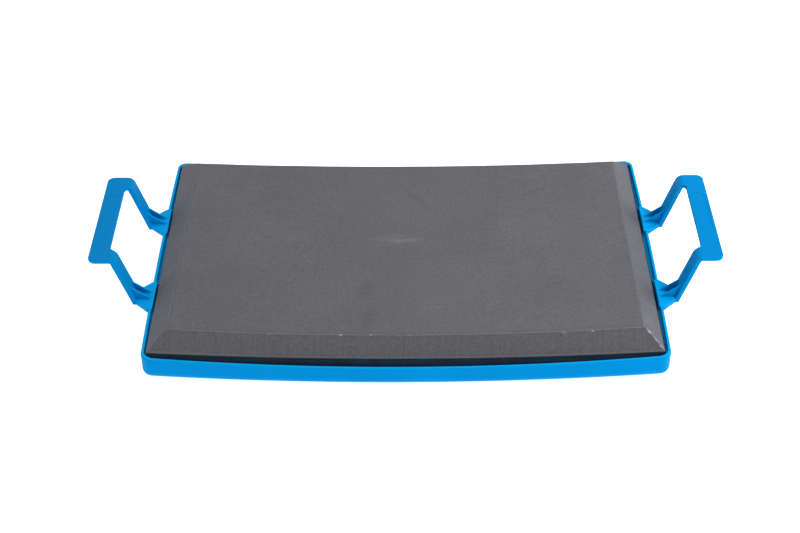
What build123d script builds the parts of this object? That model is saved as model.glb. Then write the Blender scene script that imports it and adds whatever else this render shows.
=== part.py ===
from build123d import *
from math import cos, radians, sqrt, tan
import os

os.makedirs("parts", exist_ok=True)

# Tray: long axis X, the user kneels or stands facing +Y, underside resting at Z = 0.
tray_length = 500.0  # across the middle of the two short sides
tray_depth = 340.0  # front to back at the corners
side_bow = 1.9  # the short sides swell outward this far at their middle
front_bow = 5.7  # the front side swells outward this far at its middle
back_bow = 1.0
corner_radius = 10.0
tray_height = 21.0  # underside to rim, measured square to the curve
rocker_radius = 3800.0  # the rim and the pad follow one gentle curve along the board
underside_radius = 5900.0  # the underside is flatter, so the walls grow towards the ends
base_edge_radius = 8.0
floor_thickness = 3.0
wall_thickness = 3.0
rim_band_height = 3.0
rim_band_step = 0.15  # the rim band stands this proud of the wall
rim_rounding = 1.0
well_corner_radius = 10.0  # inner corners of the rim
ledge_drop = 4.0  # rim down to the ledge at each end of the pad

# Kneeling pad: a firm base layer glued into the tray, a soft bevelled layer on top.
pad_end_margin = 7.2  # short side of the tray, at its middle, to the pad
pad_front_margin = 7.8  # long side of the tray, at its corners, to the pad
ledge_gap = 1.4  # free space between the end of the pad and the ledge
ledge_relief_depth = 1.5  # shallow bay in the ledge beside each handle foot
ledge_relief_length = 52.0
glue_thickness = 0.6
glue_margin = 6.0
base_layer_stand = 1.4  # the base layer stands this far above the rim
soft_layer_thickness = 16.0
bevel_run = 19.0
bevel_drop = 15.5

# Handles: a leaning bridge with a flat grip, two webbed feet let into the rim.
handle_shift = -7.5  # handle centre along Y
grip_length = 147.2
grip_width = 19.4
grip_thickness = 4.0
grip_rise = 48.4  # foot top to grip top
grip_setback = 6.1  # arm's upper corner to the inner edge of the grip
arm_width = 19.0
arm_thickness = 5.0
arm_lean = 19.5  # degrees outward from upright
arm_setoff = 12.7  # tray side to the inner face of the arm, at the foot
foot_thickness = 4.5
foot_width = 44.0  # along the rim
foot_inset = 4.2  # how far the foot runs in over the rim
foot_side_gap = 0.1
foot_shoulder = 0.6  # the flare starts this far outside the tray side
rib_thickness = 2.0
rib_spacing = 10.0
rib_height = 13.5
rib_run_in = 1.5  # how far the rib carries in past the tray side
rib_rounding = 0.5
bend_radius = 8.0
under_bend_radius = 4.0
grip_corner_radius = 7.5
window_corner_radius = 5.0
edge_rounding = 1.0
grip_panel_length = 69.0
grip_panel_width = 13.0
grip_panel_depth = 0.25
grip_panel_setback = 5.6  # towards +Y from the middle of the grip

half_length = tray_length / 2
half_depth = tray_depth / 2
tall = 4 * tray_height
pad_length = tray_length - 2 * pad_end_margin
pad_depth = tray_depth - 2 * pad_front_margin
ledge_edge = pad_length / 2 + ledge_gap
foot_centre = grip_length / 2 - arm_width / 2
pad_floor = floor_thickness + glue_thickness
pad_joint = tray_height + base_layer_stand
pad_top = pad_joint + soft_layer_thickness


def curve_height(x, height):
    """Z, at a distance x from the middle, of the curve whose middle is at `height`."""
    return rocker_radius - sqrt((rocker_radius - height) ** 2 - x**2)


def tray_outline(inset, rounding=corner_radius):
    """Plan of the tray: a rectangle whose sides swell gently, drawn `inset` inside the rim."""
    corner_x = half_length - side_bow - inset
    corner_y = half_depth - inset
    with BuildLine() as swelling_sides:
        ThreePointArc((corner_x, -corner_y), (half_length - inset, 0), (corner_x, corner_y))
        ThreePointArc((corner_x, corner_y), (0, corner_y + back_bow), (-corner_x, corner_y))
        ThreePointArc((-corner_x, corner_y), (-half_length + inset, 0), (-corner_x, -corner_y))
        ThreePointArc((-corner_x, -corner_y), (0, -corner_y - front_bow), (corner_x, -corner_y))
    outline = make_face(swelling_sides.edges())
    fillet(outline.vertices(), rounding)


def curved_band(low, high, low_radius=rocker_radius, high_radius=rocker_radius):
    """Side view of everything between two curves, each at its own height in the middle."""
    with Locations((0, low_radius)):
        Circle(low_radius - low)
    with Locations((0, high_radius)):
        Circle(high_radius - high, mode=Mode.SUBTRACT)
    Rectangle(2 * tray_length, rocker_radius, mode=Mode.INTERSECT)


# Tray
with BuildPart() as rim_band:
    with BuildSketch():
        tray_outline(0)
    extrude(amount=tall)
    with BuildSketch(Plane.XZ):
        curved_band(tray_height - rim_band_height, tray_height)
    extrude(amount=tray_depth, both=True, mode=Mode.INTERSECT)

with BuildPart() as well_space:
    with BuildSketch():
        tray_outline(wall_thickness, well_corner_radius)
    extrude(amount=tall)
    with BuildSketch(Plane.XZ):
        curved_band(tray_height - ledge_drop, tall)
    extrude(amount=tray_depth, both=True, mode=Mode.INTERSECT)

with BuildPart() as pocket_space:
    with BuildSketch():
        tray_outline(wall_thickness, well_corner_radius)
        Rectangle(2 * ledge_edge, 2 * tray_depth, mode=Mode.INTERSECT)
        for side in (-1, 1):
            for end in (-1, 1):
                with Locations((side * ledge_edge, handle_shift + end * foot_centre)):
                    Ellipse(ledge_relief_depth, ledge_relief_length / 2)
    extrude(amount=tall)
    with BuildSketch(Plane.XZ):
        curved_band(floor_thickness, tall, low_radius=underside_radius)
    extrude(amount=tray_depth, both=True, mode=Mode.INTERSECT)

foot_top = curve_height(half_length, tray_height)
foot_bottom = foot_top - foot_thickness

with BuildPart() as tray_shell:
    with BuildSketch():
        tray_outline(rim_band_step)
    extrude(amount=tall)
    with BuildSketch(Plane.XZ):
        curved_band(0, tray_height - rim_band_height / 2, low_radius=underside_radius)
    extrude(amount=tray_depth, both=True, mode=Mode.INTERSECT)
    fillet(tray_shell.faces().sort_by(Axis.Z)[0].edges(), base_edge_radius)
    add(rim_band.part)
    add(well_space.part, mode=Mode.SUBTRACT)
    add(pocket_space.part, mode=Mode.SUBTRACT)
    rim_face = tray_shell.faces().filter_by(
        lambda face: face.geom_type == GeomType.CYLINDER
        and abs(face.radius - (rocker_radius - tray_height)) < 0.01
    )
    fillet(rim_face.edges(), rim_rounding)
    with Locations(
        *[
            (side * half_length, handle_shift + end * foot_centre, foot_bottom)
            for side in (-1, 1)
            for end in (-1, 1)
        ]
    ):
        Box(
            2 * foot_inset + 1,
            foot_width + 2 * foot_side_gap,
            tray_height,
            align=(Align.CENTER, Align.CENTER, Align.MIN),
            mode=Mode.SUBTRACT,
        )

# Pad layers
with BuildPart() as glue_sheet:
    with BuildSketch():
        Rectangle(pad_length - 2 * glue_margin, pad_depth - 2 * glue_margin)
    extrude(amount=tall)
    with BuildSketch(Plane.XZ):
        curved_band(floor_thickness, pad_floor, underside_radius, underside_radius)
    extrude(amount=tray_depth, both=True, mode=Mode.INTERSECT)

with BuildPart() as foam_base:
    with BuildSketch():
        Rectangle(pad_length, pad_depth)
    extrude(amount=tall)
    with BuildSketch(Plane.XZ):
        curved_band(pad_floor, pad_joint, low_radius=underside_radius)
    extrude(amount=tray_depth, both=True, mode=Mode.INTERSECT)

with BuildPart() as foam_pad:
    with BuildSketch():
        Rectangle(pad_length, pad_depth)
    extrude(amount=tall)
    with BuildSketch(Plane.XZ):
        curved_band(pad_joint, pad_top)
    extrude(amount=tray_depth, both=True, mode=Mode.INTERSECT)
    upper_face = foam_pad.faces().filter_by(GeomType.CYLINDER).sort_by(Axis.Z)[-1]
    chamfer(upper_face.edges(), length=bevel_run, length2=bevel_drop, reference=upper_face)

# Handle
lean = tan(radians(arm_lean))
arm_slice = arm_thickness / cos(radians(arm_lean))
grip_top = foot_top + grip_rise
grip_under = grip_top - grip_thickness
grip_inner = half_length + arm_setoff + lean * grip_rise + grip_setback
grip_outer = grip_inner + grip_width
foot_flare_end = foot_shoulder + (foot_width - arm_width) / 2


def arm_face(z):
    """X of the inner face of the leaning arm at height z."""
    return half_length + arm_setoff + lean * (z - foot_top)


side_view = Plane(origin=(0, handle_shift, 0), x_dir=(1, 0, 0), z_dir=(0, -1, 0))

with BuildPart() as foot_plates:
    with BuildSketch(Plane.XY.offset(foot_bottom)):
        for end in (-1, 1):
            with Locations((half_length, handle_shift + end * foot_centre)):
                Polygon(
                    (-foot_inset, -foot_width / 2),
                    (foot_shoulder, -foot_width / 2),
                    (foot_flare_end, -arm_width / 2),
                    (foot_flare_end, arm_width / 2),
                    (foot_shoulder, foot_width / 2),
                    (-foot_inset, foot_width / 2),
                    align=None,
                )
    extrude(amount=foot_thickness)
    flared_edges = foot_plates.faces().sort_by(Axis.Z)[-2:].edges().filter_by(
        lambda edge: abs(edge.tangent_at(0.5).X) > 0.5 and abs(edge.tangent_at(0.5).Y) > 0.5
    )
    fillet(flared_edges, edge_rounding)

with BuildPart() as handle_right:
    with BuildSketch(side_view):
        with BuildLine():
            Polyline(
                (arm_face(foot_bottom), foot_bottom),
                (arm_face(foot_bottom) + arm_slice, foot_bottom),
                (arm_face(grip_under) + arm_slice, grip_under),
                (grip_outer, grip_under),
                (grip_outer, grip_top),
                (arm_face(grip_top), grip_top),
                close=True,
            )
        bent_strap = make_face()
        fillet(bent_strap.vertices().group_by(Axis.Y)[-1].sort_by(Axis.X)[0], bend_radius)
        under_corners = bent_strap.vertices().filter_by(lambda v: abs(v.Y - grip_under) < 0.01)
        fillet(under_corners.sort_by(Axis.X)[0], under_bend_radius)
    extrude(amount=grip_length / 2, both=True)
    with Locations((0, handle_shift, foot_bottom)):
        Box(2 * grip_inner, grip_length - 2 * arm_width, 3 * grip_rise, mode=Mode.SUBTRACT)
    fillet(handle_right.edges().filter_by(Axis.Z).group_by(Axis.X)[-1], grip_corner_radius)
    fillet(handle_right.edges().filter_by(Axis.Z).group_by(Axis.X)[0], window_corner_radius)
    fillet(handle_right.edges().filter_by(lambda edge: edge.center().Z > foot_top), edge_rounding)
    with BuildSketch(Plane.XY.offset(grip_top)):
        with Locations(((grip_inner + grip_outer) / 2, handle_shift + grip_panel_setback)):
            SlotOverall(grip_panel_length, grip_panel_width, rotation=90)
    extrude(amount=-grip_panel_depth, mode=Mode.SUBTRACT)
    add(foot_plates.part)
    for end in (-1, 1):
        for side in (-1, 1):
            rib_middle = handle_shift + end * foot_centre + side * rib_spacing / 2
            with BuildSketch(Plane(origin=(0, rib_middle, 0), x_dir=(1, 0, 0), z_dir=(0, -1, 0))):
                with BuildLine():
                    Polyline(
                        (half_length - rib_run_in, foot_top - foot_thickness / 2),
                        (arm_face(foot_top) + arm_slice / 2, foot_top - foot_thickness / 2),
                        (arm_face(foot_top + rib_height) + arm_slice / 2, foot_top + rib_height),
                        (arm_face(foot_top + rib_height), foot_top + rib_height),
                        (half_length - rib_run_in, foot_top),
                        close=True,
                    )
                make_face()
            extrude(amount=rib_thickness / 2, both=True)
    rib_crests = handle_right.edges().filter_by(
        lambda edge: abs(edge.tangent_at(0.5).X) > 0.6 and abs(edge.tangent_at(0.5).Z) > 0.4
    )
    fillet(rib_crests, rib_rounding)

with BuildPart() as handle_left:
    add(mirror(handle_right.part, about=Plane.YZ))

tray_shell.part.label = "tray_shell"
glue_sheet.part.label = "glue_sheet"
foam_base.part.label = "foam_base"
foam_pad.part.label = "foam_pad"
handle_left.part.label = "handle_left"
handle_right.part.label = "handle_right"

# The origin is under the middle of the whole object, so every piece moves by half the extra bow.
centred = Location((0, (front_bow - back_bow) / 2, 0))
export_step(tray_shell.part.moved(centred), "parts/tray_shell.step")
export_step(glue_sheet.part.moved(centred), "parts/glue_sheet.step")
export_step(foam_base.part.moved(centred), "parts/foam_base.step")
export_step(foam_pad.part.moved(centred), "parts/foam_pad.step")
export_step(handle_left.part.moved(centred), "parts/handle_left.step")
export_step(handle_right.part.moved(centred), "parts/handle_right.step")
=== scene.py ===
from math import radians, sqrt

import bmesh
import bpy
from mathutils import Matrix, Vector, noise


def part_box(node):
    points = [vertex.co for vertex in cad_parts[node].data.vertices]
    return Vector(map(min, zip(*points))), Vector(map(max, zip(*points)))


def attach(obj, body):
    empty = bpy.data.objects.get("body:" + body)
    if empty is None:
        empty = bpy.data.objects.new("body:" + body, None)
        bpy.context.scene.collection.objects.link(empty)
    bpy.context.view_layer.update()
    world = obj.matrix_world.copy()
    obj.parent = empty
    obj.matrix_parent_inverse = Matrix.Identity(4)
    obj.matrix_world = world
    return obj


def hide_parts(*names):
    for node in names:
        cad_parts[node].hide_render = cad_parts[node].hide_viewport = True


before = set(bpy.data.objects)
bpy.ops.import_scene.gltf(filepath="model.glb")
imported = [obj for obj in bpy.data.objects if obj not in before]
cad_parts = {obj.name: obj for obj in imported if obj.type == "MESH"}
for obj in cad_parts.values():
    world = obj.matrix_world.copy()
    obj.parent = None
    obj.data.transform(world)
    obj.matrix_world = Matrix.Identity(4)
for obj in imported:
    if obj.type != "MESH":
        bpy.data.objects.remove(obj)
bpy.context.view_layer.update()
scene = bpy.context.scene
mm = 0.001

print("frame loaded:", ", ".join(sorted(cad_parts)))

# camera
cameraFacts = {
    "place": (0.0013, -1.3576, 1.0035),
    "elevation": 36.14,
    "yaw": 0.292,
    "roll": -0.432,
    "lens": 74.25,
}


def placeCamera(facts):
    data = bpy.data.cameras.new("boardCamera")
    data.lens = facts["lens"]
    data.sensor_width = 36.0
    camera = bpy.data.objects.new("boardCamera", data)
    scene.collection.objects.link(camera)
    yaw = Matrix.Rotation(radians(facts["yaw"]), 4, "Z")
    tilt = Matrix.Rotation(radians(90 - facts["elevation"]), 4, "X")
    roll = Matrix.Rotation(radians(facts["roll"]), 4, "Z")
    camera.matrix_world = Matrix.Translation(Vector(facts["place"])) @ yaw @ tilt @ roll
    scene.camera = camera


placeCamera(cameraFacts)
scene.view_settings.view_transform = "Standard"
print("camera placed")

# lights
lightFacts = {
    "world": {"colour": (0.93, 0.965, 1.0), "strength": 0.40},
    "softboxes": [
        # name, position, width, power
        ("rightSoftbox", (1.05, 0.1, 0.46), 0.5, 4.2),
        ("keySoftbox", (1.05, -0.5, 1.3), 0.2, 13.0),
        ("leftSoftbox", (-1.7, -0.1, 0.75), 1.2, 6.5),
        ("frontSoftbox", (-0.2, -1.1, 0.32), 0.6, 1.1),
        ("rearSoftbox", (-0.3, 1.5, 1.7), 1.8, 11.0),
    ],
}


def lightStudio(facts):
    world = bpy.data.worlds.new("paleStudio")
    world.use_nodes = True
    sky = world.node_tree.nodes["Background"]
    sky.inputs["Color"].default_value = (*facts["world"]["colour"], 1)
    sky.inputs["Strength"].default_value = facts["world"]["strength"]
    scene.world = world
    for name, position, width, power in facts["softboxes"]:
        data = bpy.data.lights.new(name, "AREA")
        data.shape = "SQUARE"
        data.size = width
        data.energy = power
        lamp = bpy.data.objects.new(name, data)
        scene.collection.objects.link(lamp)
        lamp.location = position
        lamp.rotation_euler = (-Vector(position)).to_track_quat("-Z", "Y").to_euler()


lightStudio(lightFacts)
print("lights placed")


# node helpers
def addNode(tree, kind, settings=None, sockets=None):
    node = tree.nodes.new(kind)
    for key, value in (settings or {}).items():
        setattr(node, key, value)
    for key, value in (sockets or {}).items():
        if isinstance(value, bpy.types.NodeSocket):
            tree.links.new(value, node.inputs[key])
        else:
            node.inputs[key].default_value = value
    return node


def mathNode(tree, operation, first, second=0.0, third=0.0, clamp=False):
    settings = {"operation": operation, "use_clamp": clamp}
    return addNode(tree, "ShaderNodeMath", settings, {0: first, 1: second, 2: third}).outputs[0]


def mixColour(tree, factor, first, second, blend="MIX"):
    # the node has three sets of sockets, and these are the numbers of its colour set
    node = addNode(tree, "ShaderNodeMix", {"data_type": "RGBA", "blend_type": blend})
    for index, value in ((0, factor), (6, first), (7, second)):
        if isinstance(value, bpy.types.NodeSocket):
            tree.links.new(value, node.inputs[index])
        else:
            node.inputs[index].default_value = value
    return node.outputs[2]


def remap(tree, value, fromLow, fromHigh, toLow, toHigh):
    sockets = {"Value": value, "From Min": fromLow, "From Max": fromHigh, "To Min": toLow, "To Max": toHigh}
    return addNode(tree, "ShaderNodeMapRange", None, sockets).outputs["Result"]


def noiseNode(tree, vector, scale, detail=3.0, roughness=0.5):
    sockets = {"Vector": vector, "Scale": scale, "Detail": detail, "Roughness": roughness}
    return addNode(tree, "ShaderNodeTexNoise", None, sockets).outputs["Fac"]


def stretched(tree, vector, scale, turn=0.0):
    sockets = {"Vector": vector, "Scale": scale, "Rotation": (0, 0, radians(turn))}
    return addNode(tree, "ShaderNodeMapping", None, sockets).outputs["Vector"]


def newGroup(name, inputs, outputs):
    group = bpy.data.node_groups.new(name, "ShaderNodeTree")
    for label, kind, value in inputs:
        socket = group.interface.new_socket(label, in_out="INPUT", socket_type=kind)
        socket.default_value = value
    for label, kind in outputs:
        group.interface.new_socket(label, in_out="OUTPUT", socket_type=kind)
    return group, group.nodes.new("NodeGroupInput"), group.nodes.new("NodeGroupOutput")


def useGroup(tree, group, values):
    return addNode(tree, "ShaderNodeGroup", {"node_tree": group}, values)


def newMaterial(name):
    material = bpy.data.materials.new(name)
    material.use_nodes = True
    tree = material.node_tree
    return material, tree, tree.nodes["Principled BSDF"]


def uneven(tree, value, facts):
    # roughness that varies a little either way
    low = facts["roughness"] - facts["roughnessSpread"]
    high = facts["roughness"] + facts["roughnessSpread"]
    return remap(tree, value, 0, 1, low, high)


def dressShader(tree, shader, body, rough, height, facts):
    sockets = {"Height": height, "Strength": facts["bumpStrength"], "Distance": facts["bumpDepth"]}
    normal = addNode(tree, "ShaderNodeBump", None, sockets).outputs["Normal"]
    for label, value in (("Base Color", body), ("Roughness", rough), ("Normal", normal)):
        tree.links.new(value, shader.inputs[label])


# shared surface effects
def buildMottleGroup():
    group, enter, leave = newGroup(
        "handledMottle",
        [("Cloud Scale", "NodeSocketFloat", 14.0), ("Speck Scale", "NodeSocketFloat", 420.0)],
        [("Cloud", "NodeSocketFloat"), ("Speck", "NodeSocketFloat")],
    )
    place = addNode(group, "ShaderNodeTexCoord").outputs["Object"]
    cloud = noiseNode(group, place, enter.outputs["Cloud Scale"], 4.0, 0.6)
    speck = noiseNode(group, place, enter.outputs["Speck Scale"], 2.0, 0.65)
    group.links.new(remap(group, cloud, 0.3, 0.7, 0, 1), leave.inputs["Cloud"])
    group.links.new(remap(group, speck, 0.3, 0.7, 0, 1), leave.inputs["Speck"])
    return group


def buildScratchGroup():
    group, enter, leave = newGroup(
        "fineScratches",
        [
            ("Along", "NodeSocketFloat", 18.0),
            ("Across", "NodeSocketFloat", 900.0),
            ("Turn", "NodeSocketFloat", 0.0),
            ("Amount", "NodeSocketFloat", 0.5),
        ],
        [("Mask", "NodeSocketFloat")],
    )
    place = addNode(group, "ShaderNodeTexCoord").outputs["Object"]
    sockets = {"Vector": place, "Angle": enter.outputs["Turn"]}
    turned = addNode(group, "ShaderNodeVectorRotate", {"rotation_type": "Z_AXIS"}, sockets).outputs[0]
    parts = addNode(group, "ShaderNodeSeparateXYZ", None, {0: turned})
    along = mathNode(group, "MULTIPLY", parts.outputs["X"], enter.outputs["Along"])
    across = mathNode(group, "MULTIPLY", parts.outputs["Y"], enter.outputs["Across"])
    lane = addNode(group, "ShaderNodeCombineXYZ", None, {"X": along, "Y": across, "Z": parts.outputs["Z"]})
    grain = noiseNode(group, lane.outputs[0], 1.0, 2.0, 0.5)
    patch = noiseNode(group, place, 9.0, 2.0, 0.5)
    lines = remap(group, grain, 0.62, 0.72, 0, 1)
    where = remap(group, patch, 0.42, 0.62, 0, 1)
    mask = mathNode(group, "MULTIPLY", mathNode(group, "MULTIPLY", lines, where), enter.outputs["Amount"])
    group.links.new(mask, leave.inputs["Mask"])
    return group


def buildCellGroup():
    group, enter, leave = newGroup(
        "closedCells",
        [("Cell Scale", "NodeSocketFloat", 1500.0), ("Clump Scale", "NodeSocketFloat", 300.0)],
        [("Height", "NodeSocketFloat"), ("Shade", "NodeSocketFloat")],
    )
    place = addNode(group, "ShaderNodeTexCoord").outputs["Object"]
    sockets = {"Vector": place, "Scale": enter.outputs["Cell Scale"]}
    cell = addNode(group, "ShaderNodeTexVoronoi", None, sockets).outputs["Distance"]
    clump = noiseNode(group, place, enter.outputs["Clump Scale"], 3.0, 0.6)
    height = mathNode(group, "ADD", mathNode(group, "MULTIPLY", cell, 0.5), clump)
    group.links.new(height, leave.inputs["Height"])
    group.links.new(remap(group, height, 0.45, 1.0, 0, 1), leave.inputs["Shade"])
    return group


mottleGroup = buildMottleGroup()
scratchGroup = buildScratchGroup()
cellGroup = buildCellGroup()
print("surface effects built")


# moulded blue plastic
blueFacts = {
    "blue": (0.0, 0.217, 0.535, 1),
    "lightBlue": (0.0, 0.240, 0.585, 1),
    "dustyBlue": (0.0, 0.30, 0.66, 1),
    "scuffed": (0.0, 0.36, 0.70, 1),
    "highlightBlue": (0.0, 0.36, 0.80, 1),  # painted highlight on up-facing surfaces, lighter where light falls from above
    "gleam": (0.0, 0.52, 0.95, 1),  # the gloss takes the colour of the plastic
    "ior": 1.1,
    "dust": 0.05,
    "highlightFacing": (0.35, 0.85),  # how far up a surface must face to get the painted highlight
    "highlightFade": (0.042, 0.056),  # the grips stand above this and get no painted highlight
    "underFacing": (-0.9, -0.98),
    "roughness": 0.40,
    "roughnessSpread": 0.03,
    "wornRoughness": 0.2,
    "mottle": {"Cloud Scale": 11.0, "Speck Scale": 700.0},
    "scuffs": {"Along": 22.0, "Across": 1100.0},
    "drag": {"Along": 7.0, "Across": 620.0, "Turn": 0.0, "Amount": 0.8},  # marks on the underside
    "grainScale": 1400.0,
    "scuffDepth": 0.6,
    "bumpStrength": 0.35,
    "bumpDepth": 0.00006,
}


def mouldedPlastic(name, facts, scuffAmount, turn):
    material, tree, shader = newMaterial(name)
    mottle = useGroup(tree, mottleGroup, facts["mottle"])
    scuffs = useGroup(tree, scratchGroup, {**facts["scuffs"], "Turn": turn, "Amount": scuffAmount})
    drag = useGroup(tree, scratchGroup, facts["drag"])
    place = addNode(tree, "ShaderNodeTexCoord").outputs["Object"]
    normal = addNode(tree, "ShaderNodeNewGeometry").outputs["Normal"]
    facing = addNode(tree, "ShaderNodeSeparateXYZ", None, {0: normal}).outputs["Z"]
    level = addNode(tree, "ShaderNodeSeparateXYZ", None, {0: place}).outputs["Z"]

    body = mixColour(tree, mottle.outputs["Cloud"], facts["blue"], facts["lightBlue"])
    speck = mathNode(tree, "MULTIPLY", mottle.outputs["Speck"], facts["dust"])
    body = mixColour(tree, speck, body, facts["dustyBlue"])
    # painted highlight: up-facing surfaces below the grips are coloured lighter
    upward = remap(tree, facing, *facts["highlightFacing"], 0, 1)
    low = remap(tree, level, *facts["highlightFade"], 1, 0)
    body = mixColour(tree, mathNode(tree, "MULTIPLY", upward, low), body, facts["highlightBlue"])
    under = remap(tree, facing, *facts["underFacing"], 0, 1)
    dragged = mathNode(tree, "MULTIPLY", drag.outputs["Mask"], under)
    worn = mathNode(tree, "MAXIMUM", scuffs.outputs["Mask"], dragged, clamp=True)
    body = mixColour(tree, worn, body, facts["scuffed"])

    rough = uneven(tree, mottle.outputs["Speck"], facts)
    rough = mathNode(tree, "ADD", rough, mathNode(tree, "MULTIPLY", worn, facts["wornRoughness"]))
    grain = noiseNode(tree, place, facts["grainScale"], 2.0, 0.6)
    height = mathNode(tree, "SUBTRACT", grain, mathNode(tree, "MULTIPLY", worn, facts["scuffDepth"]))
    dressShader(tree, shader, body, rough, height, facts)
    shader.inputs["IOR"].default_value = facts["ior"]
    shader.inputs["Specular Tint"].default_value = facts["gleam"]
    return material


trayBlue = mouldedPlastic("trayBlue", blueFacts, scuffAmount=0.16, turn=0.3)
handleBlue = mouldedPlastic("handleBlue", blueFacts, scuffAmount=0.22, turn=1.45)


# grey foam of the upper layer
softFoamFacts = {
    "grey": (0.104, 0.101, 0.110, 1),
    "paleGrey": (0.120, 0.117, 0.126, 1),
    "cutGrey": (0.095, 0.092, 0.101, 1),
    # the end bevels' own cut tone with a painted bluish reflection of the blue handles
    "cutToneAndBlueReflection": (0.108, 0.107, 0.124, 1),
    # painted shade along the ridge, and wear with a painted highlight on the ridge and the lowest edge
    "ridgeShadow": (0.062, 0.064, 0.070, 1),
    "ridgeWornAndHighlight": (0.19, 0.195, 0.20, 1),
    "torn": (0.36, 0.355, 0.36, 1),
    # a knife-sliver facet: a real shallow cut, painted lighter as a highlight
    "sliverWithHighlight": (0.142, 0.132, 0.152, 1),
    # dark smudges, also used for painted shade along the mitres
    "smudgeAndCreaseShade": (0.075, 0.073, 0.082, 1),
    "scuff": (0.185, 0.18, 0.185, 1),
    "roughness": 0.83,
    "roughnessSpread": 0.05,
    "mottle": {"Cloud Scale": 16.0, "Speck Scale": 520.0},
    "cells": {"Cell Scale": 1300.0, "Clump Scale": 260.0},
    "endCutShare": 0.75,
    "cutContrast": 0.06,
    "sawMarks": (620, 22, 22),  # up and down the long bevels
    "knifeStrokes": (60, 420, 60),  # slanting across the end bevels
    "strokeTurn": 32.0,
    # the shadow and crease lines are painted shade; the worn line is wear and a painted highlight
    # lines along the ridge: distance from the edge and width in mm, strength
    "shadowLine": (17.25, 0.55, 0.6),
    "wornHighlightLine": (18.25, 0.75, 0.75),
    "creaseLine": (20.8, 0.5, 0.3),
    "lowerEdge": (0.4, 1.4),
    "lowerEdgeShare": 0.35,
    "scuffStreaks": (40, 500, 40),
    "ripStreaks": (190, 900, 190),
    "tornContrast": 0.42,
    "bumpStrength": 0.55,
    "bumpDepth": 0.00022,
    "specular": 0.3,
    "sheen": 0.06,
    "sheenRoughness": 0.6,
    # centre, radius, line width, where round the ring it fades out, strength, tint
    "rings": [
        ((0.126, 0.1445), 0.0245, 0.0009, (-0.35, -0.1), 0.45, "scuff"),  # round imprint, back edge
        ((0.126, 0.1445), 0.0275, 0.0007, (-0.35, -0.1), 0.3, "scuff"),
        ((-0.179, 0.096), 0.0075, 0.0022, (1.0, 1.3), 0.35, "smudgeAndCreaseShade"),  # a thumb mark
    ],
}


def attributeValue(tree, name):
    return addNode(tree, "ShaderNodeAttribute", {"attribute_name": name}).outputs["Fac"]


def product(tree, *values):
    total = values[0]
    for value in values[1:]:
        total = mathNode(tree, "MULTIPLY", total, value)
    return total


def lineMask(tree, value, centre, width):
    gap = mathNode(tree, "ABSOLUTE", mathNode(tree, "SUBTRACT", value, centre))
    return remap(tree, gap, 0.35 * width, width, 1, 0)


def ringMask(tree, place, centre, radius, width, sector):
    parts = addNode(tree, "ShaderNodeSeparateXYZ", None, {0: place})
    dx = mathNode(tree, "SUBTRACT", parts.outputs["X"], centre[0])
    dy = mathNode(tree, "SUBTRACT", parts.outputs["Y"], centre[1])
    squares = mathNode(tree, "ADD", product(tree, dx, dx), product(tree, dy, dy))
    distance = mathNode(tree, "SQRT", squares)
    gap = mathNode(tree, "ABSOLUTE", mathNode(tree, "SUBTRACT", distance, radius))
    line = remap(tree, gap, 0, width, 1, 0)
    lower = remap(tree, mathNode(tree, "DIVIDE", dy, radius), *sector, 1, 0)
    return product(tree, line, lower)


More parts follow.
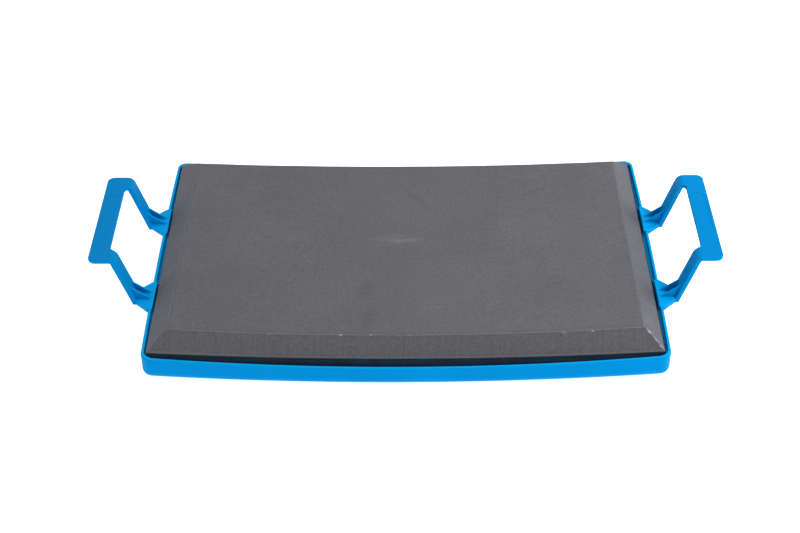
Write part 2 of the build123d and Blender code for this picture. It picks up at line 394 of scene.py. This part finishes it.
def softFoam(facts):
    material, tree, shader = newMaterial("softFoam")
    mottle = useGroup(tree, mottleGroup, facts["mottle"])
    cells = useGroup(tree, cellGroup, facts["cells"])
    place = addNode(tree, "ShaderNodeTexCoord").outputs["Object"]
    inset, endCut, frontCut, torn, smudgeAndCreaseShade, scuff, sliverWithHighlight = [
        attributeValue(tree, name)
        for name in ("inset", "endCut", "frontCut", "torn", "smudgeAndCreaseShade", "scuff", "sliverWithHighlight")
    ]

    body = mixColour(tree, mottle.outputs["Cloud"], facts["grey"], facts["paleGrey"])
    body = mixColour(tree, frontCut, body, facts["cutGrey"])
    # end bevels: their cut tone plus a painted blue reflection
    body = mixColour(tree, product(tree, endCut, facts["endCutShare"]), body, facts["cutToneAndBlueReflection"])
    # the sliver's facet painted lighter as a highlight
    body = mixColour(tree, sliverWithHighlight, body, facts["sliverWithHighlight"])
    shade = remap(tree, cells.outputs["Shade"], 0, 1, 0.86, 1.12)
    speck = remap(tree, mottle.outputs["Speck"], 0, 1, 0.93, 1.07)
    blade = noiseNode(tree, stretched(tree, place, facts["sawMarks"]), 1.0, 3.0, 0.6)
    strokes = stretched(tree, place, facts["knifeStrokes"], facts["strokeTurn"])
    strokes = noiseNode(tree, strokes, 1.0, 3.0, 0.6)
    sawn = product(tree, remap(tree, blade, 0.35, 0.65, -1, 1), frontCut)
    sliced = product(tree, remap(tree, strokes, 0.35, 0.65, -1, 1), endCut)
    cut = mathNode(tree, "ADD", sawn, sliced)
    tone = mathNode(tree, "ADD", product(tree, shade, speck), product(tree, cut, facts["cutContrast"]))
    grey = addNode(tree, "ShaderNodeCombineColor", None, {0: tone, 1: tone, 2: tone}).outputs[0]
    body = mixColour(tree, 1.0, body, grey, "MULTIPLY")

    wear = remap(tree, noiseNode(tree, place, 55.0, 3.0, 0.6), 0.35, 0.65, 0.25, 1)
    fray = remap(tree, noiseNode(tree, place, 340.0, 2.0, 0.6), 0.3, 0.7, 0.4, 1)
    frayed = product(tree, wear, fray)
    # painted shade and painted highlight along the ridge
    for name, patchy, tint in (
        ("shadowLine", wear, "ridgeShadow"),
        ("wornHighlightLine", frayed, "ridgeWornAndHighlight"),
        ("creaseLine", wear, "ridgeShadow"),
    ):
        distance, width, share = facts[name]
        line = product(tree, lineMask(tree, inset, distance, width), patchy, share)
        body = mixColour(tree, line, body, facts[tint])
    # the lowest edge of the long bevels made lighter: wear and painted highlight
    lowest = remap(tree, inset, *facts["lowerEdge"], 1, 0)
    lowest = product(tree, lowest, frontCut, facts["lowerEdgeShare"])
    body = mixColour(tree, lowest, body, facts["ridgeWornAndHighlight"])

    # dark smudges, and painted shade along the mitres
    body = mixColour(tree, smudgeAndCreaseShade, body, facts["smudgeAndCreaseShade"])
    streaks = noiseNode(tree, stretched(tree, place, facts["scuffStreaks"]), 1.0, 2.0)
    streaks = remap(tree, streaks, 0.4, 0.62, 0, 1)
    body = mixColour(tree, product(tree, scuff, streaks), body, facts["scuff"])
    for centre, radius, width, sector, share, tint in facts["rings"]:
        imprint = product(tree, ringMask(tree, place, centre, radius, width, sector), share)
        body = mixColour(tree, imprint, body, facts[tint])
    rip = noiseNode(tree, stretched(tree, place, facts["ripStreaks"]), 1.0, 3.0, 0.6)
    ripped = mathNode(tree, "ADD", rip, product(tree, torn, facts["tornContrast"]))
    ripped = product(tree, remap(tree, ripped, 0.62, 0.76, 0, 1), remap(tree, torn, 0.02, 0.25, 0, 1))
    body = mixColour(tree, ripped, body, facts["torn"])

    rough = uneven(tree, mottle.outputs["Cloud"], facts)
    height = mathNode(tree, "ADD", cells.outputs["Height"], product(tree, cut, 0.5))
    height = mathNode(tree, "ADD", height, product(tree, ripped, 1.5))
    dressShader(tree, shader, body, rough, height, facts)
    shader.inputs["Specular IOR Level"].default_value = facts["specular"]
    shader.inputs["Sheen Weight"].default_value = facts["sheen"]
    shader.inputs["Sheen Roughness"].default_value = facts["sheenRoughness"]
    return material


# near-black foam of the lower layer
firmFoamFacts = {
    "dark": (0.020, 0.036, 0.056, 1),
    "skin": (0.040, 0.066, 0.100, 1),
    "roughness": 0.62,
    "roughnessSpread": 0.06,
    "mottle": {"Cloud Scale": 30.0, "Speck Scale": 600.0},
    "cells": {"Cell Scale": 1700.0, "Clump Scale": 340.0},
    "layerLines": (12, 12, 900),
    "bumpStrength": 0.4,
    "bumpDepth": 0.0002,
    "specular": 0.3,
}


def firmFoam(facts):
    material, tree, shader = newMaterial("firmFoam")
    mottle = useGroup(tree, mottleGroup, facts["mottle"])
    cells = useGroup(tree, cellGroup, facts["cells"])
    place = addNode(tree, "ShaderNodeTexCoord").outputs["Object"]
    layers = noiseNode(tree, stretched(tree, place, facts["layerLines"]), 1.0, 2.0, 0.5)
    blend = mathNode(tree, "MULTIPLY", remap(tree, layers, 0.4, 0.6, 0.2, 1), mottle.outputs["Cloud"])
    body = mixColour(tree, blend, facts["dark"], facts["skin"])
    rough = uneven(tree, mottle.outputs["Speck"], facts)
    height = mathNode(tree, "ADD", cells.outputs["Height"], layers)
    dressShader(tree, shader, body, rough, height, facts)
    shader.inputs["Specular IOR Level"].default_value = facts["specular"]
    return material


# glue under the foam
glueFacts = {
    "amber": (0.42, 0.34, 0.20, 1),
    "milky": (0.58, 0.52, 0.40, 1),
    "roughness": 0.55,
    "roughnessSpread": 0.1,
    "mottle": {"Cloud Scale": 45.0, "Speck Scale": 300.0},
    "bumpStrength": 0.5,
    "bumpDepth": 0.0003,
}


def curedGlue(facts):
    material, tree, shader = newMaterial("curedGlue")
    mottle = useGroup(tree, mottleGroup, facts["mottle"])
    body = mixColour(tree, mottle.outputs["Cloud"], facts["amber"], facts["milky"])
    rough = uneven(tree, mottle.outputs["Speck"], facts)
    dressShader(tree, shader, body, rough, mottle.outputs["Cloud"], facts)
    return material


softFoamGrey = softFoam(softFoamFacts)
firmFoamBlack = firmFoam(firmFoamFacts)
glueFilm = curedGlue(glueFacts)
print("materials built")

# the curves that the layers follow
padLow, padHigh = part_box("foam_pad")
baseLow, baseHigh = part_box("foam_base")
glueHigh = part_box("glue_sheet")[1]
middleY = (padLow.y + padHigh.y) / 2
halfLength = padHigh.x
halfDepth = padHigh.y - middleY
jointHeight = padLow.z


def radiusFrom(height, reach, endHeight):
    rise = endHeight - height
    return height + (reach**2 + rise**2) / (2 * rise)


rimRadius = radiusFrom(jointHeight, halfLength, baseHigh.z)
underRadius = radiusFrom(baseLow.z, glueHigh.x, glueHigh.z)


def curveHeight(x, height, radius):
    return radius - sqrt((radius - height) ** 2 - x**2)


layFacts = {
    "shift": -0.4 * mm,  # the foam was glued in a little off the middle
    "jointDrop": 0.6 * mm,  # the joint between the two layers came out this much low
    "jointTilt": 0.5 * mm,  # and this much lower still at the right, higher at the left
}


def jointAt(x):
    return jointHeight - layFacts["jointDrop"] - layFacts["jointTilt"] * x / halfLength


padFacts = {
    "bevelRun": 19 * mm,
    "bevelLip": 0.5 * mm,
    "ridgeBow": 2.4 * mm,  # the long bevels are narrower in the middle
    "facet": 1.7 * mm,  # narrow second cut along the ridge, half its width
    "facetSlope": 0.34,
    "ridgeRounding": 0.35 * mm,
    "waver": 0.35 * mm,  # the hand-cut ridge wanders by this much
    "waverLength": 34 * mm,
    "unevenness": 0.22 * mm,
    "unevennessLength": 70 * mm,
    "bevelFade": 0.8 * mm,  # over this the finish changes from bevel to top
    "tornWidth": 5 * mm,  # ragged mitre at the front right, most of it on the end bevel
    "tornEdge": 0.8 * mm,
    "tornDepth": 0.5 * mm,
    "creaseWidth": 0.9 * mm,  # painted shade along the crease of the other mitres
    "creaseFront": 0.9,
    "creaseBack": 0.5,
    "sliverWidth": 11 * mm,  # knife sliver off the mitre at the front left, painted lighter as a highlight
    "sliverLength": 14 * mm,
    "sliverTaper": 0.62,
    "sliverDepth": 0.35 * mm,
    "sliverLip": 0.3 * mm,
    "tearReach": 2 * mm,
    "edgeSpacing": 0.8 * mm,
    "ridgeSpacing": 0.55 * mm,
    "wideSpacing": 2.8 * mm,
    "smoothAngle": 24,
    "fill": 1.0,
}
ridgeX = halfLength - padFacts["bevelRun"]
padTop = rimRadius - sqrt((rimRadius - padHigh.z) ** 2 + ridgeX**2)

# smudges and scuffs on the top: x, y, long radius, short radius, turn in degrees, strength
smudges = [
    (-0.0385, -0.077, 0.010, 0.005, 70, 0.42),
    (-0.0345, -0.122, 0.012, 0.004, 75, 0.40),
    (0.011, 0.084, 0.022, 0.0024, -56, 0.40),
    (-0.190, -0.060, 0.030, 0.012, 20, 0.16),
    (0.060, -0.015, 0.012, 0.006, 10, 0.16),
    (0.150, -0.085, 0.040, 0.015, -15, 0.14),
    (0.136, 0.092, 0.014, 0.0014, 32, 0.45),
]
scuffs = [
    (-0.008, 0.008, 0.019, 0.0055, 0, 0.75),
    (0.030, -0.100, 0.020, 0.008, 25, 0.2),
    (-0.120, 0.020, 0.028, 0.010, -30, 0.2),
    (0.110, 0.035, 0.022, 0.012, 60, 0.18),
]
# little tears on the front ridge: x, half length, depth, paleness
ridgeTears = [
    (-0.0615, 0.0016, 0.0008, 0.5),
    (-0.0333, 0.0014, 0.0011, 0.8),
    (0.0043, 0.0013, 0.0006, 0.35),
    (0.1765, 0.0022, 0.0007, 0.4),
    (0.149, 0.0030, 0.0004, 0.2),
    (-0.128, 0.0020, 0.0004, 0.2),
]
markNames = ("inset", "endCut", "frontCut", "torn", "smudgeAndCreaseShade", "scuff", "sliverWithHighlight")


def waveNoise(x, y, wavelength, seed):
    return noise.noise(Vector((x / wavelength, y / wavelength, seed)))


def spotStrength(spots, x, y):
    best = 0.0
    for cx, cy, longRadius, shortRadius, turn, strength in spots:
        offset = Matrix.Rotation(radians(-turn), 2) @ Vector((x - cx, y - cy))
        reach = (offset.x / longRadius) ** 2 + (offset.y / shortRadius) ** 2
        if reach < 4:
            ragged = 1 + 0.5 * waveNoise(x, y, 4 * mm, 7.0)
            best = max(best, strength * ragged * max(0.0, 1 - reach / 4) ** 1.5)
    return best


def gridLine(half, facts):
    ridgeStart = facts["bevelRun"] - 2 * facts["facet"]
    ridgeEnd = facts["bevelRun"] + 2 * facts["facet"]
    edgeCount = round(ridgeStart / facts["edgeSpacing"])
    ridgeCount = round((ridgeEnd - ridgeStart) / facts["ridgeSpacing"])
    wideCount = round(2 * (half - ridgeEnd) / facts["wideSpacing"])
    edge = [ridgeStart * i / edgeCount for i in range(edgeCount)]
    edge += [ridgeStart + (ridgeEnd - ridgeStart) * i / ridgeCount for i in range(ridgeCount)]
    inner = [-half + ridgeEnd + 2 * (half - ridgeEnd) * i / wideCount for i in range(wideCount + 1)]
    return [-half + v for v in edge] + inner + [half - v for v in reversed(edge)]


def smoothLower(a, b, rounding):
    gap = max(rounding - abs(a - b), 0.0) / rounding
    return min(a, b) - gap * gap * rounding / 4


def cutHeight(x, y, inset, facts):
    # the bevel, the narrow second cut along its ridge and the top, blended where they meet
    run = facts["bevelRun"]
    edge = jointAt(x) + facts["bevelLip"]
    bevel = edge + (padTop - edge) * inset / run
    facet = padTop - facts["facetSlope"] * (run + facts["facet"] - inset)
    top = padTop + facts["unevenness"] * (waveNoise(x, y, facts["unevennessLength"], 11.0) - 0.6)
    return smoothLower(bevel, smoothLower(facet, top, facts["ridgeRounding"]), facts["ridgeRounding"])


def tornShare(x, y, hip, facts):
    broken = 0.55 + 0.9 * waveNoise(x, y, 6 * mm, 31.0)
    if hip < 0:
        return (1 + hip / facts["tornWidth"]) * broken
    return max(0.0, 1 - hip / facts["tornEdge"]) * broken


def sliverShare(hip, dy, facts):
    half = facts["sliverLength"] / 2
    reach = facts["sliverTaper"] * (half - abs(dy - half))
    return min(1.0, max(0.0, (reach + hip + facts["sliverLip"]) / facts["bevelFade"]))


def padSurface(x, y, facts):
    # height of the top of the pad above its own curve, with its marks
    run = facts["bevelRun"]
    bow = facts["ridgeBow"] * (1 - (x / halfLength) ** 2)
    dx = halfLength - abs(x)
    dy = (halfDepth - abs(y)) * run / (run - bow)
    waver = facts["waver"] * waveNoise(x, y, facts["waverLength"], 3.0)
    inset = min(dx, dy) - waver * min(1.0, min(dx, dy) / run)
    height = cutHeight(x, y, inset, facts)
    onBevel = min(1.0, max(0.0, (run - facts["facet"] * 0.6 - inset) / facts["bevelFade"]))
    marks = dict.fromkeys(markNames, 0.0)
    marks["inset"] = inset / mm
    marks["endCut" if dx < dy else "frontCut"] = onBevel
    if onBevel < 0.5:
        marks["smudgeAndCreaseShade"] = min(1.0, spotStrength(smudges, x, y))
        marks["scuff"] = min(1.0, spotStrength(scuffs, x, y))
    hip = dx - dy  # how far from the mitre at a corner, below zero on the end bevel
    if x > 0 and y < 0 and abs(hip) < facts["tornWidth"] and inset < run:
        share = tornShare(x, y, hip, facts)
        height += share * facts["tornDepth"] * waveNoise(x, y, 1.8 * mm, 21.0)
        marks["torn"] = max(0.0, share)
    elif onBevel > 0.5 and abs(hip) < facts["creaseWidth"]:
        # painted shade along the mitre, darker at the front, kept with the smudges
        shade = facts["creaseFront"] if y < 0 else facts["creaseBack"]
        marks["smudgeAndCreaseShade"] = shade * (1 - abs(hip) / facts["creaseWidth"])
    if x < 0 and y < 0 and -facts["sliverWidth"] < hip < 0 and dy < facts["sliverLength"]:
        marks["sliverWithHighlight"] = sliverShare(hip, dy, facts)
        height -= facts["sliverDepth"] * marks["sliverWithHighlight"]
    ridge = abs(inset - run + facts["facet"] / 2)
    if y < 0 and dy < dx:
        for tearX, length, depth, pale in ridgeTears:
            reach = ((x - tearX) / length) ** 2 + (ridge / facts["tearReach"]) ** 2
            if reach < 1:
                height -= depth * (1 - reach)
                marks["torn"] = max(marks["torn"], pale * (1 - reach * reach))
    return height, marks


def closeUnder(mesh, ring, countX, countY):
    # one long strip per column, so the underside follows the curve
    front = ring[:countX]
    rightSide = ring[countX:countX + countY - 2]
    back = ring[countX + countY - 2:2 * countX + countY - 2][::-1]
    leftSide = ring[2 * countX + countY - 2:][::-1]
    for i in range(countX - 1):
        loop = [front[i], back[i], back[i + 1]]
        if i == countX - 2:
            loop += rightSide[::-1]
        loop.append(front[i + 1])
        if i == 0:
            loop = [front[0]] + leftSide + loop[1:]
        mesh.faces.new(loop)


def outlineRing(linesX, linesY):
    ring = [(x, linesY[0]) for x in linesX]
    ring += [(linesX[-1], y) for y in linesY[1:-1]]
    ring += [(x, linesY[-1]) for x in reversed(linesX)]
    ring += [(linesX[0], y) for y in reversed(linesY[1:-1])]
    return ring


def finishPiece(mesh, name, material, node, facts):
    data = bpy.data.meshes.new(name)
    bmesh.ops.recalc_face_normals(mesh, faces=mesh.faces)
    mesh.to_mesh(data)
    mesh.free()
    piece = bpy.data.objects.new(name, data)
    piece.location = (layFacts["shift"], middleY, 0)
    scene.collection.objects.link(piece)
    data.materials.append(material)
    data.shade_smooth()
    data.set_sharp_from_angle(angle=radians(facts["smoothAngle"]))
    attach(piece, "root")
    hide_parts(node)
    return piece


def buildSoftPad(facts):
    linesX = gridLine(halfLength, facts)
    linesY = gridLine(halfDepth, facts)
    mesh = bmesh.new()
    layers = {name: mesh.verts.layers.float.new(name) for name in markNames}
    rows = []
    for y in linesY:
        row = []
        for x in linesX:
            height, marks = padSurface(x, y, facts)
            vert = mesh.verts.new((x, y, curveHeight(x, height, rimRadius)))
            for name, value in marks.items():
                vert[layers[name]] = value
            row.append(vert)
        rows.append(row)
    for lower, upper in zip(rows, rows[1:]):
        for i in range(len(linesX) - 1):
            mesh.faces.new((lower[i], lower[i + 1], upper[i + 1], upper[i]))
    rim = rows[0] + [row[-1] for row in rows[1:-1]] + rows[-1][::-1] + [row[0] for row in rows[-2:0:-1]]
    under = []
    for x, y in outlineRing(linesX, linesY):
        under.append(mesh.verts.new((x, y, curveHeight(x, jointAt(x), rimRadius))))
    for vert in under:
        vert[layers["frontCut"]] = 1.0
    for i in range(len(rim)):
        j = (i + 1) % len(rim)
        mesh.faces.new((under[i], under[j], rim[j], rim[i]))
    closeUnder(mesh, under, len(linesX), len(linesY))
    return finishPiece(mesh, "softFoamPad", softFoamGrey, "foam_pad", facts)


baseFacts = {
    "spacing": 4.0 * mm,
    # share of the height, inset in mm: a rounded foot, a shallow groove and a rolled top edge
    "rings": [
        (0.0, 0.5), (0.12, 0.0), (0.5, -0.1), (0.84, 0.0),
        (0.88, 0.3), (0.92, -0.1), (0.98, 0.1), (1.0, 0.5),
    ],
    "ripple": 0.12 * mm,
    "rippleLength": 25 * mm,
    "smoothAngle": 50,
    "fill": 1.0,
}


def evenLine(half, spacing):
    count = round(2 * half / spacing)
    return [-half + 2 * half * i / count for i in range(count + 1)]


def drawnIn(value, half, pull):
    # only a point on the outline moves in
    if abs(value) < half - 0.001 * mm:
        return value
    return value - pull if value > 0 else value + pull


def buildFirmBase(facts):
    linesX = evenLine(halfLength, facts["spacing"])
    linesY = evenLine(halfDepth, facts["spacing"])
    mesh = bmesh.new()
    rings = []
    for share, inset in facts["rings"]:
        ring = []
        for x, y in outlineRing(linesX, linesY):
            pull = inset * mm + facts["ripple"] * waveNoise(x + y, share, facts["rippleLength"], 9.0)
            px = drawnIn(x, halfLength, pull)
            py = drawnIn(y, halfDepth, pull)
            floorZ = curveHeight(px, baseLow.z, underRadius)
            roofZ = curveHeight(px, jointAt(px), rimRadius)
            ring.append(mesh.verts.new((px, py, floorZ + (roofZ - floorZ) * share)))
        rings.append(ring)
    for lower, upper in zip(rings, rings[1:]):
        for i in range(len(lower)):
            j = (i + 1) % len(lower)
            mesh.faces.new((lower[i], lower[j], upper[j], upper[i]))
    for ring in (rings[0], rings[-1]):
        closeUnder(mesh, ring, len(linesX), len(linesY))
    return finishPiece(mesh, "firmFoamBase", firmFoamBlack, "foam_base", facts)


softPad = buildSoftPad(padFacts)
firmBase = buildFirmBase(baseFacts)
print("foam layers built:", len(softPad.data.vertices), "and", len(firmBase.data.vertices), "points")

# finishes on the frame's own pieces
finishes = {
    "tray_shell": trayBlue,
    "handle_left": handleBlue,
    "handle_right": handleBlue,
    "glue_sheet": glueFilm,
}
for nodeName, material in finishes.items():
    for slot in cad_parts[nodeName].material_slots:
        slot.material = material
print("finishes assigned")

# floor
floorFacts = {
    "half": 6.0,
    "segments": 12,
    "colour": (0.93, 0.93, 0.93, 1),
    "toothScale": 300.0,
    "roughness": (0.85, 0.95),
    "glow": 0.8,
}


def buildFloor(facts):
    mesh = bmesh.new()
    segments = facts["segments"]
    bmesh.ops.create_grid(mesh, x_segments=segments, y_segments=segments, size=facts["half"])
    data = bpy.data.meshes.new("paleFloor")
    mesh.to_mesh(data)
    mesh.free()
    floor = bpy.data.objects.new("paleFloor", data)
    scene.collection.objects.link(floor)
    material, tree, shader = newMaterial("palePaper")
    place = addNode(tree, "ShaderNodeTexCoord").outputs["Object"]
    tooth = noiseNode(tree, place, facts["toothScale"], 2.0)
    shader.inputs["Base Color"].default_value = facts["colour"]
    tree.links.new(remap(tree, tooth, 0.3, 0.7, *facts["roughness"]), shader.inputs["Roughness"])
    shader.inputs["Emission Color"].default_value = (1, 1, 1, 1)
    shader.inputs["Emission Strength"].default_value = facts["glow"]
    data.materials.append(material)


buildFloor(floorFacts)
print("floor laid")
